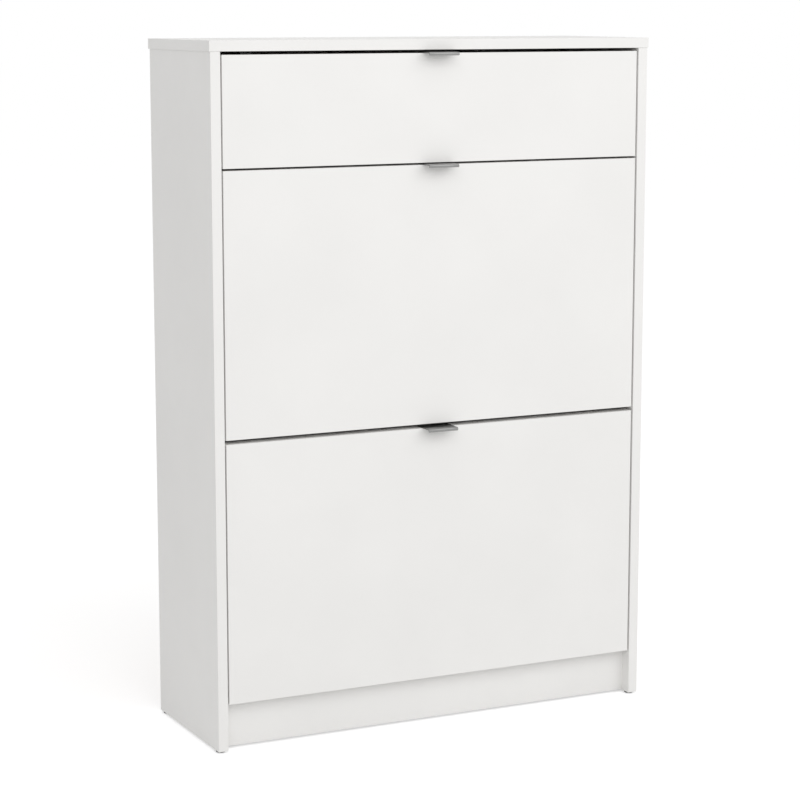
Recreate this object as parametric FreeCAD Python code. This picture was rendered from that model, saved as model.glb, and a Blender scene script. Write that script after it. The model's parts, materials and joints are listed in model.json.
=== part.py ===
"""Shoe cabinet with one drawer over two flaps that tilt out, each with two tiers for shoes.

Millimetres, +Z up. The fronts face -Y and X is the width. The origin is on the floor, midway
across the width and midway between the handles' front edges and the back.
"""

import FreeCAD, Part
import math
import os

# ---- carcass -------------------------------------------------------------------------------
WIDTH = 700.0                 # over both side panels
DEPTH = 237.0                 # of a side panel
HEIGHT = 1012.0               # floor to the top face
BOARD = 15.0                  # particle board
EDGE_RADIUS = 0.5             # eased edges of the outer boards
HARDBOARD = 3.0               # back panels and the flaps' trays
TOP_SIDE_OVERHANG = 1.5
TOP_FRONT_OVERHANG = 1.0
PLINTH_SETBACK = 20.0         # behind the side panels' front edges
PLINTH_FLOOR_GAP = 4.0
SHELF_GAP = 5.0               # shelves' front edges, behind the fronts' backs
BACK_SIDE_INSET = 2.0         # back panels stop this far inside the side panels' outer faces
GLIDE_HEIGHT = 3.0
GLIDE_RADIUS = 7.0
GLIDE_BEVEL = 1.0
GLIDE_INSET = 12.0            # glide centre from the side panel's front and rear edges
GLIDE_PIN_RADIUS = 1.2
GLIDE_PIN_LENGTH = 14.0

# ---- fronts --------------------------------------------------------------------------------
FRONT_SETBACK = 1.0           # fronts' faces, behind the side panels' front edges
FRONT_SIDE_GAP = 2.5
TOP_GAP = 4.7                 # top panel to drawer front
DRAWER_FRONT_HEIGHT = 156.0
DRAWER_GAP = 3.0              # drawer front to upper door
DOOR_BOTTOM = 71.0            # lower door's bottom edge above the floor

# ---- handles -------------------------------------------------------------------------------
HANDLE_WIDTH = 48.0
HANDLE_SHEET = 1.5
HANDLE_PROJECTION = 21.0      # in front of the front's face
HANDLE_LIP = 4.8              # height of the turned-down front edge
HANDLE_FLANGE = 18.0          # height of the leg behind the front
HANDLE_BEND = 2.0             # outside radius of both bends
HANDLE_SCREW_PITCH = 28.0
HANDLE_SCREW_DROP = 10.0      # screw centres below the front's top edge

# ---- flaps ---------------------------------------------------------------------------------
FLAP_ANGLE = 45.0
PIVOT_SETBACK = 25.0          # pivot behind the door's face
PIVOT_RISE = 110.0            # pivot above the door's bottom edge
PIVOT_RADIUS = 4.0
PIVOT_LENGTH = 10.0           # pin beyond the end plate's shoulder
SHOULDER_RADIUS = 7.0
END_PLATE = 5.0               # thickness
END_PLATE_GAP = 5.0           # end plate to side panel
END_FLANGE = 15.0             # leg that is screwed to the door
END_FLANGE_SHEET = 3.0
END_PLATE_CORNER = 12.0       # rounding of the plate's free corners
FLAP_REAR_ROOM = 43.0         # rear board to back panel
TRAY_GROOVE = 1.5             # trays sit this deep in the end plates
TRAY_RIM = 4.0                # end plate beyond the rear board
FRONT_TRAY_DROP = 95.0        # front floor's upper face below the pivot
REAR_TRAY_DROP = 42.0         # rear floor's upper face below the pivot
MIDDLE_BOARD_DROP = 105.0     # middle board's top edge below the swing limit
REAR_BOARD_DROP = 50.0        # rear board's top edge below the swing limit
PLATE_TOP_DROP = 40.0         # end plate's top corner below the door's top edge
STUD_RADIUS = 3.0
STUD_ARC = 80.0               # stop stud's distance from the pivot
STUD_ANGLE = 10.0             # stop stud's direction, from straight up towards the back
STUD_SLOT_DEPTH = 3.0
STUD_SEAT = 10.0              # stud's length inside the side panel
BUSH_WALL = 2.0
BUSH_SEAT = 11.0
BUSH_FLANGE_RADIUS = 8.0
BUSH_FLANGE = 1.0
BUMPER_RADIUS = 4.0
BUMPER_INSET = 60.0           # bumper from the shelf's end
PLATE_SCREWS = 3

# ---- drawer --------------------------------------------------------------------------------
DRAWER_BOARD = 12.0
DRAWER_REAR_ROOM = 16.0       # drawer's back to back panel
DRAWER_SIDE_DROP = 46.0       # sides' upper edges below the front's top edge
DRAWER_SIDE_RISE = 6.0        # sides' lower edges above the runners' floor
DRAWER_BOTTOM_RISE = 10.0     # bottom's groove above the drawer sides' lower edges
DRAWER_GROOVE = 6.0

# ---- runners and rollers -------------------------------------------------------------------
RUNNER_SPACE = 12.5           # drawer side to side panel
RUNNER_SHEET = 1.2
RUNNER_REAR_ROOM = 5.0        # drawer member's rear end from the drawer sides' rear ends
RUNNER_FRONT_GAP = 2.0        # cabinet member's front end, behind the drawer front's back
RUNNER_SHELF_GAP = 4.7        # cabinet member above the drawer shelf
RUNNER_FLANGE = 10.0
RUNNER_FOOT = 10.5            # drawer member's leg under the drawer side
ROLLER_RADIUS = 9.0
ROLLER_WIDTH = 7.0
ROLLER_PLAY = 0.2             # roller to the flange it runs on
ROLLER_OFFSET = 1.5           # front rollers' axes above the rear rollers' axes
ROLLER_END = 12.0             # roller axis from its member's end
ROLLER_STOP_GAP = 6.0         # rear roller to front roller with the drawer right out
ROLLER_WEB_GAP = 1.5          # roller's side to the member that carries it
AXLE_RADIUS = 2.0
RIVET_RADIUS = 3.2
RIVET_HEAD = 0.8
RIVET_POCKET = 1.2

# ---- fixings -------------------------------------------------------------------------------
CAM_RADIUS = 7.5
CAM_SETBACK = 24.0            # cam's axis from the board's end
CAM_SKIN = 3.0                # board left over a cam
CAM_EDGE = 32.0               # cam's axis from the board's long edges
CAM_DOWEL_RADIUS = 2.4
CAM_THREAD_RADIUS = 3.0
CAM_THREAD_LENGTH = 10.0
CAM_HEAD_RADIUS = 3.0
CAM_HEAD = 3.0
CAM_CROSS = 8.0
CAM_CROSS_WIDTH = 2.0
CAM_CROSS_DEPTH = 2.0
PEG_RADIUS = 4.0              # beech dowels
PEG_IN_PANEL = 10.0
PEG_IN_BOARD = 20.0
PEG_EDGE = 18.0               # plinth's dowels from its long edges
NAIL_RADIUS = 0.7
NAIL_LENGTH = 20.0
NAIL_HEAD_RADIUS = 1.8
NAIL_HEAD = 0.8
NAIL_PITCH = 110.0
SCREW_RADIUS = 1.5
SCREW_LENGTH = 10.0           # in the wood
SCREW_HEAD_RADIUS = 3.0
SCREW_HEAD = 1.1
DRAWER_SCREW_HEAD = 0.8
BOX_SCREW_RADIUS = 2.0
BOX_SCREW_LENGTH = 38.0
BACK_STRIP_FLANGE = 16.0      # height of the strip that joins the back panels
BACK_STRIP_SHEET = 1.0
BRACKET_PITCH = 400.0
BRACKET_WIDTH = 20.0
BRACKET_LEG = 30.0
BRACKET_SHEET = 2.0
BRACKET_HOLE_DROP = 17.0      # wall hole below the top panel
WALL_HOLE_RADIUS = 2.5

# ---- clearances ----------------------------------------------------------------------------
HOLE_CLEARANCE = 0.1          # round a fixing in its hole
END_CLEARANCE = 0.5           # at the bottom of a blind hole
SEAT_CLEARANCE = 0.3          # between parts that touch softly or pass each other
PIVOT_CLEARANCE = 0.05        # running fits
SWING_CLEARANCE = 2.2         # door's lower edge over the plinth
HANDLE_CLEARANCE = 1.7        # door's lower edge over the handle below it
CEILING_CLEARANCE = 6.0       # a tilting flap's trays under the shelf above
GROOVE_CLEARANCE = 0.2

# ---- places that follow --------------------------------------------------------------------
INNER_HALF = WIDTH / 2 - BOARD
FRONT_HALF = INNER_HALF - FRONT_SIDE_GAP
HANDLE_REACH = HANDLE_PROJECTION - FRONT_SETBACK
SIDE_FRONT = -(DEPTH + HARDBOARD + HANDLE_REACH) / 2 + HANDLE_REACH
SIDE_BACK = SIDE_FRONT + DEPTH
BACK = SIDE_BACK + HARDBOARD
FACE = SIDE_FRONT + FRONT_SETBACK
FACE_BACK = FACE + BOARD
SHELF_FRONT = FACE_BACK + SHELF_GAP
TOP_UNDERSIDE = HEIGHT - BOARD

SWING_DROP = math.hypot(PIVOT_SETBACK, PIVOT_RISE) - PIVOT_RISE
DOOR_GAP = SWING_DROP + HANDLE_SHEET + HANDLE_CLEARANCE
DRAWER_TOP = TOP_UNDERSIDE - TOP_GAP
DRAWER_LOW = DRAWER_TOP - DRAWER_FRONT_HEIGHT
UPPER_DOOR_TOP = DRAWER_LOW - DRAWER_GAP
DOOR_HEIGHT = (UPPER_DOOR_TOP - DOOR_BOTTOM - DOOR_GAP) / 2
LOWER_DOOR_TOP = DOOR_BOTTOM + DOOR_HEIGHT
BOTTOM_TOP = DOOR_BOTTOM - SWING_DROP - SWING_CLEARANCE
PLINTH_BACK = SIDE_FRONT + PLINTH_SETBACK + BOARD
BOARD_TOPS = {"drawer_shelf": UPPER_DOOR_TOP, "flap_shelf": LOWER_DOOR_TOP, "bottom_panel": BOTTOM_TOP}
BACK_SPLIT = (BOTTOM_TOP - BOARD + TOP_UNDERSIDE) / 2

PIVOT_Y = FACE + PIVOT_SETBACK
FLAP_FLOORS = {"upper": UPPER_DOOR_TOP - DOOR_HEIGHT, "lower": DOOR_BOTTOM}
PLATE_OUTER = INNER_HALF - END_PLATE_GAP
PLATE_INNER = PLATE_OUTER - END_PLATE
SHOULDER_OUTER = INNER_HALF - BUSH_FLANGE - SEAT_CLEARANCE
DOOR_BACK = BOARD - PIVOT_SETBACK
REAR_BOARD = DEPTH - FRONT_SETBACK - PIVOT_SETBACK - FLAP_REAR_ROOM
MIDDLE_BOARD = (REAR_BOARD + DOOR_BACK) / 2
CEILING = DOOR_HEIGHT - PIVOT_RISE - BOARD - CEILING_CLEARANCE

RUNNER_LOW = UPPER_DOOR_TOP + RUNNER_SHELF_GAP
DRAWER_OUTER = INNER_HALF - RUNNER_SPACE
DRAWER_INNER = DRAWER_OUTER - DRAWER_BOARD
REAR_AXIS_Z = RUNNER_LOW + RUNNER_SHEET + ROLLER_PLAY + ROLLER_RADIUS
FRONT_AXIS_Z = REAR_AXIS_Z + ROLLER_OFFSET
RUNNING_FLANGE_Z = FRONT_AXIS_Z + ROLLER_RADIUS + ROLLER_PLAY
RUNNER_TOP = RUNNING_FLANGE_Z + 2 * RUNNER_SHEET + ROLLER_OFFSET
DRAWER_SIDE_LOW = RUNNER_LOW + RUNNER_SHEET + DRAWER_SIDE_RISE
DRAWER_SIDE_TOP = DRAWER_TOP - DRAWER_SIDE_DROP
DRAWER_BACK_Y = SIDE_BACK - DRAWER_REAR_ROOM
RUNNER_LENGTH = DRAWER_BACK_Y - RUNNER_REAR_ROOM - FACE_BACK
DRAWER_FLOOR = DRAWER_SIDE_LOW + DRAWER_BOTTOM_RISE
RUNNER_FRONT = FACE_BACK + RUNNER_FRONT_GAP
FRONT_ROLLER_Y = RUNNER_FRONT + ROLLER_END
REAR_ROLLER_Y = FACE_BACK + RUNNER_LENGTH - ROLLER_END
DRAWER_TRAVEL = REAR_ROLLER_Y - FRONT_ROLLER_Y - 2 * ROLLER_RADIUS - ROLLER_STOP_GAP

X = FreeCAD.Vector(1, 0, 0)
Y = FreeCAD.Vector(0, 1, 0)
Z = FreeCAD.Vector(0, 0, 1)
SIDES = {"left": -1, "right": 1}


# ---- shapes --------------------------------------------------------------------------------
def box(x_range, y_range, z_range):
    """A block between two places along each axis, given in either order."""
    x0, x1 = sorted(x_range)
    y0, y1 = sorted(y_range)
    z0, z1 = sorted(z_range)
    return Part.makeBox(x1 - x0, y1 - y0, z1 - z0, FreeCAD.Vector(x0, y0, z0))


def rod(radius, start, direction, length):
    """A cylinder that starts at a point and runs along a direction."""
    return Part.makeCylinder(radius, length, start, direction)


def fused(shapes):
    """One solid from touching shapes."""
    return shapes[0].multiFuse(shapes[1:]).removeSplitter()


def prism(points, x_start, x_end):
    """A block whose outline lies in the YZ plane, stretched along X."""
    outline = [FreeCAD.Vector(x_start, y, z) for y, z in points]
    face = Part.Face(Part.makePolygon(outline + outline[:1]))
    return face.extrude(X * (x_end - x_start))


def rounded(shape, radius, near):
    """A shape with those of its edges along X rounded that pass through the (y, z) points."""
    chosen = []
    for edge in shape.Edges:
        middle = edge.CenterOfMass
        along_x = abs(edge.tangentAt(edge.FirstParameter).x) > 0.99
        if along_x and any(math.hypot(middle.y - y, middle.z - z) < 0.01 for y, z in near):
            chosen.append(edge)
    return shape.makeFillet(radius, chosen)


def eased(board, edges):
    """A board with some of its edges slightly rounded."""
    return board.makeFillet(EDGE_RADIUS, edges)


# ---- fixings -------------------------------------------------------------------------------
class CamJoint:
    """A cam lock in one board that draws in a steel dowel screwed into another.

    The start lies where the two boards meet, at the middle of the cam board's thickness. The
    dowel runs from there along inward, and the cam is let in from the face that exit points to.
    """

    def __init__(self, start, inward, exit_side, thickness=BOARD):
        self.start = start
        self.inward = inward
        self.exit_side = exit_side
        self.mouth = start + inward * CAM_SETBACK + exit_side * (thickness / 2)
        self.height = thickness - CAM_SKIN

    def cam(self):
        """The cam, with its cross recess and the passage for the dowel's head."""
        body = rod(CAM_RADIUS, self.mouth, self.exit_side * -1, self.height)
        centre = self.start + self.inward * CAM_SETBACK
        passage = rod(CAM_HEAD_RADIUS + SEAT_CLEARANCE, centre + self.inward * CAM_HEAD,
                      self.inward * -1, CAM_RADIUS + 2 * CAM_HEAD)
        across = self.exit_side.cross(self.inward)
        recess = [self.cross_arm(self.inward, across), self.cross_arm(across, self.inward)]
        return body.cut([passage] + recess)

    def cross_arm(self, along, across):
        """One bar of the cross recess."""
        half = CAM_CROSS / 2
        width = CAM_CROSS_WIDTH / 2
        signs = ((-1, -1), (1, -1), (1, 1), (-1, 1))
        outline = [self.mouth + along * (half * a) + across * (width * b) for a, b in signs]
        return Part.Face(Part.makePolygon(outline + outline[:1])).extrude(self.exit_side * -CAM_CROSS_DEPTH)

    def dowel(self):
        """The steel dowel: thread in the panel, shank, and head inside the cam."""
        thread = rod(CAM_THREAD_RADIUS, self.start, self.inward * -1, CAM_THREAD_LENGTH)
        shank = rod(CAM_DOWEL_RADIUS, self.start, self.inward, CAM_SETBACK)
        head_start = self.start + self.inward * (CAM_SETBACK - CAM_HEAD / 2)
        head = rod(CAM_HEAD_RADIUS, head_start, self.inward, CAM_HEAD)
        return fused([thread, shank, head])

    def board_holes(self):
        """The holes in the board that holds the cam."""
        seat = rod(CAM_RADIUS + HOLE_CLEARANCE, self.mouth, self.exit_side * -1, self.height + HOLE_CLEARANCE)
        return [seat, rod(PEG_RADIUS, self.start, self.inward, CAM_SETBACK)]

    def panel_hole(self):
        """The hole in the panel that holds the dowel's thread."""
        length = CAM_THREAD_LENGTH + END_CLEARANCE
        return rod(CAM_THREAD_RADIUS + HOLE_CLEARANCE, self.start, self.inward * -1, length)


class Peg:
    """A beech dowel across a joint, longer on the side that inward points to."""

    def __init__(self, start, inward):
        self.start = start
        self.inward = inward

    def solid(self):
        """The dowel."""
        start = self.start - self.inward * PEG_IN_PANEL
        return rod(PEG_RADIUS, start, self.inward, PEG_IN_PANEL + PEG_IN_BOARD)

    def hole(self):
        """Its hole through both boards."""
        length = PEG_IN_PANEL + PEG_IN_BOARD + 2 * END_CLEARANCE
        start = self.start - self.inward * (PEG_IN_PANEL + END_CLEARANCE)
        return rod(PEG_RADIUS + HOLE_CLEARANCE, start, self.inward, length)


def screw(seat, inward, length=SCREW_LENGTH, head=SCREW_HEAD, radius=SCREW_RADIUS):
    """A pan-head screw whose head stands on a seat, with its shank along inward."""
    shank = rod(radius, seat, inward, length)
    return fused([shank, rod(SCREW_HEAD_RADIUS, seat, inward * -1, head)])


def screw_hole(seat, inward, length=SCREW_LENGTH, radius=SCREW_RADIUS):
    """The hole for a screw's shank."""
    return rod(radius + HOLE_CLEARANCE, seat, inward, length + END_CLEARANCE)


# ---- where the carcass fixings are ---------------------------------------------------------
def board_front(name):
    """The front edge of a horizontal board of the carcass."""
    return PLINTH_BACK if name == "bottom_panel" else SHELF_FRONT


def shelf_cams(name):
    """The four cam joints at a horizontal board's ends."""
    joints = []
    for side in SIDES.values():
        for y in (board_front(name) + CAM_EDGE, SIDE_BACK - CAM_EDGE):
            start = FreeCAD.Vector(side * INNER_HALF, y, BOARD_TOPS[name] - BOARD / 2)
            joints.append(CamJoint(start, X * -side, Z * -1))
    return joints


def top_cams():
    """The cam joints that draw the side panels up to the top panel."""
    joints = []
    for side in SIDES.values():
        for y in (SIDE_FRONT + CAM_EDGE, SIDE_BACK - CAM_EDGE):
            start = FreeCAD.Vector(side * (INNER_HALF + BOARD / 2), y, TOP_UNDERSIDE)
            joints.append(CamJoint(start, Z * -1, X * -side))
    return joints


def board_pegs(name):
    """The beech dowel at each end of a horizontal board."""
    y = (board_front(name) + SIDE_BACK) / 2
    z = BOARD_TOPS[name] - BOARD / 2
    return [Peg(FreeCAD.Vector(side * INNER_HALF, y, z), X * -side) for side in SIDES.values()]


def top_pegs():
    """The beech dowels between the side panels and the top panel."""
    y = (SIDE_FRONT + SIDE_BACK) / 2
    return [Peg(FreeCAD.Vector(side * (INNER_HALF + BOARD / 2), y, TOP_UNDERSIDE), Z * -1)
            for side in SIDES.values()]


def plinth_pegs():
    """The beech dowels at the plinth's ends, and those into the bottom panel's front edge."""
    y = PLINTH_BACK - BOARD / 2
    ends = [Peg(FreeCAD.Vector(side * INNER_HALF, y, z), X * -side)
            for side in SIDES.values() for z in (PLINTH_FLOOR_GAP + PEG_EDGE, BOTTOM_TOP - PEG_EDGE)]
    z = BOTTOM_TOP - BOARD / 2
    front = [Peg(FreeCAD.Vector(x, PLINTH_BACK, z), Y) for x in (-INNER_HALF / 2, 0, INNER_HALF / 2)]
    return ends + front


def all_pegs():
    """Every beech dowel of the carcass."""
    across = [peg for name in BOARD_TOPS for peg in board_pegs(name)]
    return across + top_pegs() + plinth_pegs()


def all_shelf_cams():
    """Every cam joint between a horizontal board and the side panels."""
    return [joint for name in BOARD_TOPS for joint in shelf_cams(name)]


def evenly(low, high, pitch):
    """Places from low to high, evenly spaced and no further apart than a pitch."""
    gaps = math.ceil((high - low) / pitch)
    return [low + (high - low) * step / gaps for step in range(gaps + 1)]


def nail_places():
    """The back panels' nails, as (x, z): down both side panels and along the boards."""
    x = INNER_HALF + BOARD / 2
    places = []
    for low, high in ((BOTTOM_TOP - BOARD, BACK_SPLIT), (BACK_SPLIT, TOP_UNDERSIDE)):
        for z in evenly(low + CAM_SETBACK, high - CAM_SETBACK, NAIL_PITCH):
            places += [(-x, z), (x, z)]
    for top in BOARD_TOPS.values():
        places += [(across, top - BOARD / 2) for across in (-INNER_HALF / 2, 0, INNER_HALF / 2)]
    return places


def nail(x, z):
    """A flat-head nail with its head flush in the back panel."""
    start = FreeCAD.Vector(x, BACK, z)
    shank = rod(NAIL_RADIUS, start, Y * -1, NAIL_LENGTH)
    return fused([shank, rod(NAIL_HEAD_RADIUS, start, Y * -1, NAIL_HEAD)])


def nail_holes():
    """The holes for every nail's shank and head."""
    holes = []
    for x, z in nail_places():
        start = FreeCAD.Vector(x, BACK, z)
        holes.append(rod(NAIL_RADIUS + HOLE_CLEARANCE, start, Y * -1, NAIL_LENGTH + END_CLEARANCE))
        holes.append(rod(NAIL_HEAD_RADIUS + HOLE_CLEARANCE, start, Y * -1, NAIL_HEAD))
    return holes


def glide_points():
    """The four floor glides' centres on the floor."""
    x = INNER_HALF + BOARD / 2
    return [FreeCAD.Vector(side * x, y, 0) for side in SIDES.values()
            for y in (SIDE_FRONT + GLIDE_INSET, SIDE_BACK - GLIDE_INSET)]


def pivot(flap):
    """A flap's pivot, in the middle of the width."""
    return FreeCAD.Vector(0, PIVOT_Y, FLAP_FLOORS[flap] + PIVOT_RISE)


def stud_point(flap, angle=STUD_ANGLE):
    """A point at the stop stud's distance from a flap's pivot."""
    turn = math.radians(angle)
    return pivot(flap) + Y * (STUD_ARC * math.sin(turn)) + Z * (STUD_ARC * math.cos(turn))


def runner_screw_places():
    """Where the cabinet members are screwed on, along Y."""
    start = FRONT_ROLLER_Y + ROLLER_RADIUS + ROLLER_END
    end = RUNNER_FRONT + RUNNER_LENGTH - ROLLER_END
    return [start, (start + end) / 2, end]


# ---- carcass -------------------------------------------------------------------------------
def top_panel():
    """The top, which also covers the back panel's upper edge."""
    half = WIDTH / 2 + TOP_SIDE_OVERHANG
    board = box((-half, half), (SIDE_FRONT - TOP_FRONT_OVERHANG, BACK), (TOP_UNDERSIDE, HEIGHT))
    board = eased(board, board.Edges)
    holes = [joint.panel_hole() for joint in top_cams()] + [peg.hole() for peg in top_pegs()]
    holes += [screw_hole(seat, Z) for seat in bracket_screw_seats()]
    return board.cut(holes)


def side_panel(side):
    """A side panel with all the holes for what it carries."""
    x_range = (side * INNER_HALF, side * WIDTH / 2)
    panel = box(x_range, (SIDE_FRONT, SIDE_BACK), (GLIDE_HEIGHT, TOP_UNDERSIDE))
    panel = eased(panel, [edge for edge in panel.Edges if edge.CenterOfMass.y < SIDE_FRONT + EDGE_RADIUS])
    holes = [joint.panel_hole() for joint in all_shelf_cams()]
    holes += [hole for joint in top_cams() for hole in joint.board_holes()]
    holes += [peg.hole() for peg in all_pegs()]
    holes += nail_holes()
    for point in glide_points():
        holes.append(rod(GLIDE_PIN_RADIUS + HOLE_CLEARANCE, point, Z, GLIDE_PIN_LENGTH + END_CLEARANCE))
    inner = X * (side * INNER_HALF)
    outward = X * side
    for flap in FLAP_FLOORS:
        bush_radius = PIVOT_RADIUS + PIVOT_CLEARANCE + BUSH_WALL + HOLE_CLEARANCE
        holes.append(rod(bush_radius, pivot(flap) + inner, outward, BUSH_SEAT + END_CLEARANCE))
        stud_mouth = stud_point(flap) + inner
        holes.append(rod(STUD_RADIUS + HOLE_CLEARANCE, stud_mouth, outward, STUD_SEAT + END_CLEARANCE))
    for y in runner_screw_places():
        holes.append(screw_hole(FreeCAD.Vector(side * INNER_HALF, y, REAR_AXIS_Z), outward))
    near = [hole for hole in holes if hole.BoundBox.XMax * side > 0 or hole.BoundBox.XMin * side > 0]
    return panel.cut(near)


def carcass_board(name):
    """A horizontal board between the side panels."""
    top = BOARD_TOPS[name]
    board = box((-INNER_HALF, INNER_HALF), (board_front(name), SIDE_BACK), (top - BOARD, top))
    holes = [hole for joint in shelf_cams(name) for hole in joint.board_holes()]
    holes += [peg.hole() for peg in board_pegs(name)] + nail_holes()
    if name == "bottom_panel":
        holes += [peg.hole() for peg in plinth_pegs()]
    return board.cut(holes)


def plinth_board():
    """The plinth between the side panels."""
    board = box((-INNER_HALF, INNER_HALF), (PLINTH_BACK - BOARD, PLINTH_BACK), (PLINTH_FLOOR_GAP, BOTTOM_TOP))
    return board.cut([peg.hole() for peg in plinth_pegs()])


def back_panel(z_range):
    """A hardboard back panel, with its nail holes and any wall holes."""
    half = WIDTH / 2 - BACK_SIDE_INSET
    panel = box((-half, half), (SIDE_BACK, BACK), z_range)
    wall = [rod(WALL_HOLE_RADIUS, point, Y, HARDBOARD) for point in wall_hole_points()]
    return panel.cut(nail_holes() + wall)


def back_panels():
    """The two back panels, either side of the plastic strip."""
    half_web = BACK_STRIP_SHEET / 2
    lower = back_panel((BOTTOM_TOP - BOARD, BACK_SPLIT - half_web))
    upper = back_panel((BACK_SPLIT + half_web, TOP_UNDERSIDE))
    return {"lower_back_panel": lower, "upper_back_panel": upper}


def back_joint_strip():
    """The plastic strip that keeps the back panels' meeting edges in line."""
    half = INNER_HALF - SEAT_CLEARANCE
    half_flange = BACK_STRIP_FLANGE / 2
    half_web = BACK_STRIP_SHEET / 2
    flange = box((-half, half), (SIDE_BACK - BACK_STRIP_SHEET, SIDE_BACK),
                 (BACK_SPLIT - half_flange, BACK_SPLIT + half_flange))
    web = box((-half, half), (SIDE_BACK, BACK), (BACK_SPLIT - half_web, BACK_SPLIT + half_web))
    return fused([flange, web])


def floor_glide(point):
    """A nail-on glide under a side panel."""
    disc = rod(GLIDE_RADIUS, point, Z, GLIDE_HEIGHT)
    lower_rim = [edge for edge in disc.Edges if edge.Closed and edge.CenterOfMass.z < GLIDE_HEIGHT / 2]
    disc = disc.makeChamfer(GLIDE_BEVEL, lower_rim)
    pin = rod(GLIDE_PIN_RADIUS, point + Z * (GLIDE_HEIGHT / 2), Z, GLIDE_PIN_LENGTH - GLIDE_HEIGHT / 2)
    return fused([disc, pin])


def wall_hole_points():
    """The wall anchor holes, where they meet the back panel's inner face."""
    z = TOP_UNDERSIDE - BRACKET_HOLE_DROP
    return [FreeCAD.Vector(x, SIDE_BACK, z) for x in (-BRACKET_PITCH / 2, BRACKET_PITCH / 2)]


def bracket_screw_seats():
    """Where the wall brackets' screws enter, under each bracket's upper leg."""
    y = SIDE_BACK - BRACKET_LEG * 2 / 3
    return [FreeCAD.Vector(point.x, y, TOP_UNDERSIDE - BRACKET_SHEET) for point in wall_hole_points()]


def wall_bracket(hole_point, seat):
    """A steel angle inside the back, under the top panel."""
    x_range = (hole_point.x - BRACKET_WIDTH / 2, hole_point.x + BRACKET_WIDTH / 2)
    corner_y, corner_z = SIDE_BACK, TOP_UNDERSIDE
    upper = box(x_range, (corner_y - BRACKET_LEG, corner_y), (corner_z - BRACKET_SHEET, corner_z))
    upright = box(x_range, (corner_y - BRACKET_SHEET, corner_y), (corner_z - BRACKET_LEG, corner_z))
    wall = rod(WALL_HOLE_RADIUS, hole_point - Y * BRACKET_SHEET, Y, BRACKET_SHEET)
    return fused([upper, upright]).cut([wall, screw_hole(seat, Z)])


def pivot_bush(flap, side):
    """A flanged plastic bush in a side panel, blind at its outer end."""
    outward = X * side
    face = pivot(flap) + X * (side * INNER_HALF)
    bore = PIVOT_RADIUS + PIVOT_CLEARANCE
    sleeve = rod(bore + BUSH_WALL, face, outward, BUSH_SEAT)
    flange = rod(BUSH_FLANGE_RADIUS, face, outward * -1, BUSH_FLANGE)
    hole = rod(bore, face - outward * BUSH_FLANGE, outward, BUSH_SEAT + BUSH_FLANGE - BUSH_WALL / 2)
    return fused([sleeve, flange]).cut(hole)


def stop_stud(flap, side):
    """A plastic peg in a side panel that ends the flap's travel in its curved slot."""
    outward = X * side
    tip = stud_point(flap) + X * (side * (PLATE_OUTER - STUD_SLOT_DEPTH + SEAT_CLEARANCE))
    length = END_PLATE_GAP + STUD_SLOT_DEPTH - SEAT_CLEARANCE + STUD_SEAT
    return rod(STUD_RADIUS, tip, outward, length)


def bumper(shelf, side):
    """A soft dot on a shelf's front edge, where the door's back comes to rest."""
    length = SHELF_FRONT - FACE_BACK - SEAT_CLEARANCE
    start = FreeCAD.Vector(side * (INNER_HALF - BUMPER_INSET), SHELF_FRONT, BOARD_TOPS[shelf] - BOARD / 2)
    dot = rod(BUMPER_RADIUS, start, Y * -1, length)
    tip = [edge for edge in dot.Edges if edge.Closed and edge.CenterOfMass.y < SHELF_FRONT - length / 2]
    return dot.makeFillet(length / 4, tip)


# ---- handles -------------------------------------------------------------------------------
def handle(top_edge):
    """A bent aluminium pull over a front's top edge, with a lip in front and a leg behind."""
    half = HANDLE_WIDTH / 2
    lip_front = FACE - HANDLE_PROJECTION
    leg_back = FACE_BACK + HANDLE_SHEET
    upper = top_edge + HANDLE_SHEET
    lip_low = upper - HANDLE_LIP
    leg_low = upper - HANDLE_FLANGE
    outline = [
        (lip_front, lip_low), (lip_front, upper), (leg_back, upper), (leg_back, leg_low),
        (FACE_BACK, leg_low), (FACE_BACK, top_edge), (lip_front + HANDLE_SHEET, top_edge),
        (lip_front + HANDLE_SHEET, lip_low),
    ]
    bent = rounded(prism(outline, -half, half), HANDLE_BEND, [(lip_front, upper), (leg_back, upper)])
    bent = rounded(bent, HANDLE_BEND - HANDLE_SHEET, [(lip_front + HANDLE_SHEET, top_edge)])
    return bent.cut([screw_hole(seat, Y * -1) for seat in handle_screw_seats(top_edge)])


def handle_screw_seats(top_edge):
    """Where the two screws enter a handle's leg from behind."""
    z = top_edge - HANDLE_SCREW_DROP
    half = HANDLE_SCREW_PITCH / 2
    return [FreeCAD.Vector(x, FACE_BACK + HANDLE_SHEET, z) for x in (-half, half)]


def handle_screws(top_edge):
    """The screws of one handle."""
    return Part.makeCompound([screw(seat, Y * -1) for seat in handle_screw_seats(top_edge)])


# ---- drawer --------------------------------------------------------------------------------
def drawer_cams():
    """The cam joints between the drawer's sides and its front."""
    joints = []
    for side in SIDES.values():
        for z in (DRAWER_FLOOR + CAM_SETBACK, DRAWER_SIDE_TOP - CAM_SETBACK):
            start = FreeCAD.Vector(side * (DRAWER_INNER + DRAWER_BOARD / 2), FACE_BACK, z)
            joints.append(CamJoint(start, Y, X * -side, DRAWER_BOARD))
    return joints


def drawer_floor_outline(clearance):
    """The drawer's bottom, or with a clearance the groove that it sits in."""
    half = DRAWER_INNER + DRAWER_GROOVE - GROOVE_CLEARANCE + clearance
    front = FACE_BACK - DRAWER_GROOVE + GROOVE_CLEARANCE - clearance
    z_range = (DRAWER_FLOOR - clearance, DRAWER_FLOOR + HARDBOARD + clearance)
    return box((-half, half), (front, DRAWER_BACK_Y), z_range)


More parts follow.
